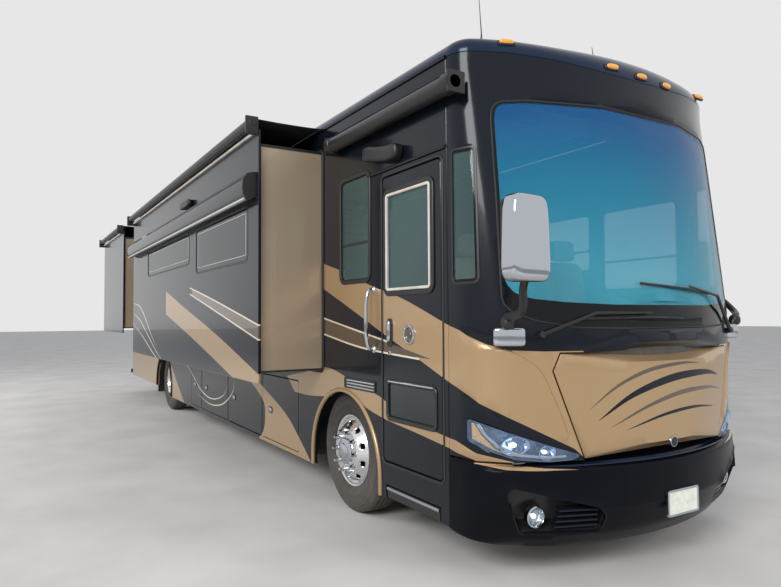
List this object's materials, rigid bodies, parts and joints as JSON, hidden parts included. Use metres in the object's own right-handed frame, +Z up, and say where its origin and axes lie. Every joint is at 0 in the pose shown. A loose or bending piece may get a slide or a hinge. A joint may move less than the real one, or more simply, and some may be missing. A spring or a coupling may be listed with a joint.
{
  "type": "motorhome",
  "caption": "Rear-engined coach motorhome with run-out slide rooms, luggage bay doors, an entry door over a sliding step, and steered front wheels.",
  "frame": {"origin": "on the ground, under the middle of the whole vehicle", "axes": "+Z up, -Y towards the front of the vehicle, -X towards the entry door side"},
  "size_m": [4.044, 12.94, 3.75],
  "materials": {
    "body_paint": "gloss clear coat",
    "gold_paint": "metallic clear coat",
    "roof_skin": "satin gel coat",
    "frame_steel": "matt black",
    "cast_parts": "rough",
    "polished_alloy": "polished",
    "chrome_trim": "mirror polish",
    "tyre_rubber": "satin",
    "tinted_glass": "polished",
    "screen_glass": "polished",
    "lamp_lens": "polished",
    "amber_lens": "gloss",
    "cab_trim": "grained",
    "seat_leather": "grained",
    "black_plastic": "satin",
    "floor_board": "satin",
    "unit_cover": "satin"
  },
  "bodies": {
    "coach": {"axles": "cast_parts", "basement_tray": "frame_steel", "cab_seats": "seat_leather", "cabin_fittings": "cab_trim", "chassis_frame": "frame_steel", "dashboard": "cab_trim", "door_awning": "body_paint", "engine_block": "cast_parts", "entry_step_well": "floor_board", "floor_deck": "floor_board", "frame_cross_members": "frame_steel", "front_bumper": "body_paint", "front_cap": "body_paint", "grab_handle": "chrome_trim", "headlamps": "lamp_lens", "mirrors": "chrome_trim", "rear_bumper": "body_paint", "rear_cap": "body_paint", "roof": "roof_skin", "roof_units": "unit_cover", "side_windows": "tinted_glass", "skirt_left": "body_paint", "skirt_right": "body_paint", "small_lamps": "amber_lens", "tow_receiver": "frame_steel", "wall_left": "body_paint", "wall_right": "body_paint", "windshield": "screen_glass", "wipers": "black_plastic"},
    "knuckle_right": {"knuckle_right": "cast_parts"},
    "knuckle_left": {"knuckle_left": "cast_parts"},
    "tie_rod": {"tie_rod": "frame_steel"},
    "wheel_front_right": {"tyre_front_right": "tyre_rubber", "rim_front_right": "polished_alloy"},
    "wheel_front_left": {"tyre_front_left": "tyre_rubber", "rim_front_left": "polished_alloy"},
    "wheel_rear_right": {"tyre_rear_right": "tyre_rubber", "rim_rear_right": "polished_alloy"},
    "wheel_rear_left": {"tyre_rear_left": "tyre_rubber", "rim_rear_left": "polished_alloy"},
    "entry_door": {"entry_door": "body_paint", "entry_door_glass": "tinted_glass"},
    "entry_step": {"entry_step": "frame_steel"},
    "slide_front_right": {"slide_front_right": "body_paint", "slide_front_right_glass": "tinted_glass", "slide_front_right_awnings": "body_paint"},
    "slide_rear_right": {"slide_rear_right": "body_paint", "slide_rear_right_awnings": "body_paint"},
    "slide_left": {"slide_left": "body_paint", "slide_left_glass": "tinted_glass", "slide_left_awnings": "body_paint"},
    "hood": {"hood": "gold_paint"},
    "engine_door": {"engine_door": "body_paint"},
    "bay_door_right_1": {"bay_door_right_1": "body_paint"},
    "bay_door_right_2": {"bay_door_right_2": "body_paint"},
    "bay_door_right_3": {"bay_door_right_3": "body_paint"},
    "bay_door_right_4": {"bay_door_right_4": "body_paint"},
    "bay_door_left_1": {"bay_door_left_1": "body_paint"},
    "bay_door_left_2": {"bay_door_left_2": "body_paint"}
  },
  "joints": [
    {"name": "steer_right", "type": "hinge", "parent": "coach", "child": "knuckle_right", "pos_m": [-0.9, -4.11, 0.505], "axis": [0, 0, 1], "range_deg": [-45, 45]},
    {"name": "steer_left", "type": "hinge", "parent": "coach", "child": "knuckle_left", "pos_m": [0.9, -4.11, 0.505], "axis": [0, 0, 1], "range_deg": [-45, 45]},
    {"name": "tie_rod_turn", "type": "hinge", "parent": "knuckle_left", "child": "tie_rod", "pos_m": [0.9, -3.91, 0.328], "axis": [0, 0, 1], "range_deg": [-45, 45]},
    {"name": "front_right_spin", "type": "hinge", "parent": "knuckle_right", "child": "wheel_front_right", "pos_m": [-1.052, -4.11, 0.505], "axis": [1, 0, 0], "continuous": true},
    {"name": "front_left_spin", "type": "hinge", "parent": "knuckle_left", "child": "wheel_front_left", "pos_m": [1.052, -4.11, 0.505], "axis": [1, 0, 0], "continuous": true},
    {"name": "rear_right_spin", "type": "hinge", "parent": "coach", "child": "wheel_rear_right", "pos_m": [-0.882, 2.96, 0.505], "axis": [1, 0, 0], "continuous": true},
    {"name": "rear_left_spin", "type": "hinge", "parent": "coach", "child": "wheel_rear_left", "pos_m": [0.882, 2.96, 0.505], "axis": [1, 0, 0], "continuous": true},
    {"name": "entry_door_hinge", "type": "hinge", "parent": "coach", "child": "entry_door", "pos_m": [-1.291, -5.533, 1.615], "axis": [0, 0, 1], "range_deg": [0, 90]},
    {"name": "entry_step_slide", "type": "slide", "parent": "coach", "child": "entry_step", "axis": [-1, 0, 0], "range_m": [0, 0.28]},
    {"name": "slide_front_right_run", "type": "slide", "parent": "coach", "child": "slide_front_right", "axis": [1, 0, 0], "range_m": [0, 0.558]},
    {"name": "slide_rear_right_run", "type": "slide", "parent": "coach", "child": "slide_rear_right", "axis": [1, 0, 0], "range_m": [0, 0.558]},
    {"name": "slide_left_run", "type": "slide", "parent": "coach", "child": "slide_left", "axis": [-1, 0, 0], "range_m": [0, 0.558]},
    {"name": "hood_hinge", "type": "hinge", "parent": "coach", "child": "hood", "pos_m": [0, -6.3, 1.396], "axis": [-1, 0, 0], "range_deg": [0, 70]},
    {"name": "engine_door_hinge", "type": "hinge", "parent": "coach", "child": "engine_door", "pos_m": [0, 6.396, 1.338], "axis": [1, 0, 0], "range_deg": [0, 75]},
    {"name": "bay_door_right_1_hinge", "type": "hinge", "parent": "coach", "child": "bay_door_right_1", "pos_m": [-1.291, -3.153, 0.67], "axis": [0, 0, 1], "range_deg": [0, 95]},
    {"name": "bay_door_right_2_hinge", "type": "hinge", "parent": "coach", "child": "bay_door_right_2", "pos_m": [-1.291, -2.123, 0.67], "axis": [0, 0, 1], "range_deg": [0, 95]},
    {"name": "bay_door_right_3_hinge", "type": "hinge", "parent": "coach", "child": "bay_door_right_3", "pos_m": [-1.291, -0.858, 0.67], "axis": [0, 0, 1], "range_deg": [0, 95]},
    {"name": "bay_door_right_4_hinge", "type": "hinge", "parent": "coach", "child": "bay_door_right_4", "pos_m": [-1.291, 0.417, 0.67], "axis": [0, 0, 1], "range_deg": [0, 95]},
    {"name": "bay_door_left_1_hinge", "type": "hinge", "parent": "coach", "child": "bay_door_left_1", "pos_m": [1.291, -3.153, 0.67], "axis": [0, 0, -1], "range_deg": [0, 95]},
    {"name": "bay_door_left_2_hinge", "type": "hinge", "parent": "coach", "child": "bay_door_left_2", "pos_m": [1.291, -1.893, 0.67], "axis": [0, 0, -1], "range_deg": [0, 95]}
  ],
  "couplings": [
    {"joint": "steer_left", "follows": "steer_right", "ratio": 1},
    {"joint": "tie_rod_turn", "follows": "steer_right", "ratio": -1}
  ]
}
